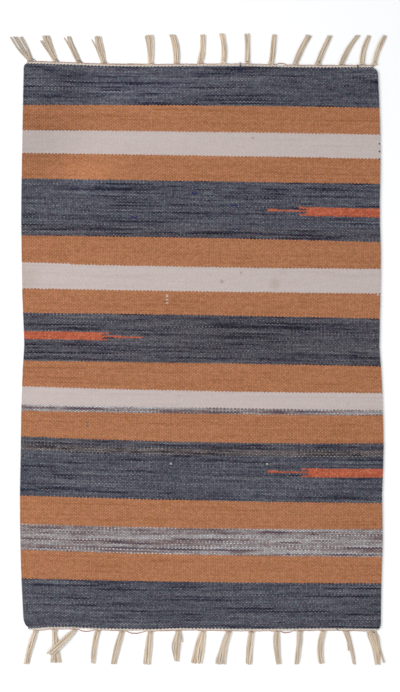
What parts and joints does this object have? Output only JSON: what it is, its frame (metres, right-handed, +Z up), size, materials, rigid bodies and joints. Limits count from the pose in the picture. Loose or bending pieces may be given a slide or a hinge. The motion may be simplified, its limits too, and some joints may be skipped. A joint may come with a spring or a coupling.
{
  "type": "kilim rug",
  "caption": "Flat rectangular woven rug in weft-faced plain weave with cross stripes, short arrow bars and knotted warp tassels along both ends.",
  "frame": {"origin": "under the middle of the whole rug with its tassels, on the floor it lies on", "axes": "+X across the rug, +Y along it towards the end that is at the top of the picture, +Z up"},
  "size_m": [0.7274, 1.2254, 0.0058],
  "materials": {
    "woven_ground": "matt weft-faced plain weave in dark grey blue, tan brown and off-white yarn",
    "warp_yarn": "matt undyed plied cotton"
  },
  "bodies": {
    "root": {"ground": "woven_ground", "fringe_top": "warp_yarn", "fringe_bottom": "warp_yarn"}
  },
  "joints": []
}
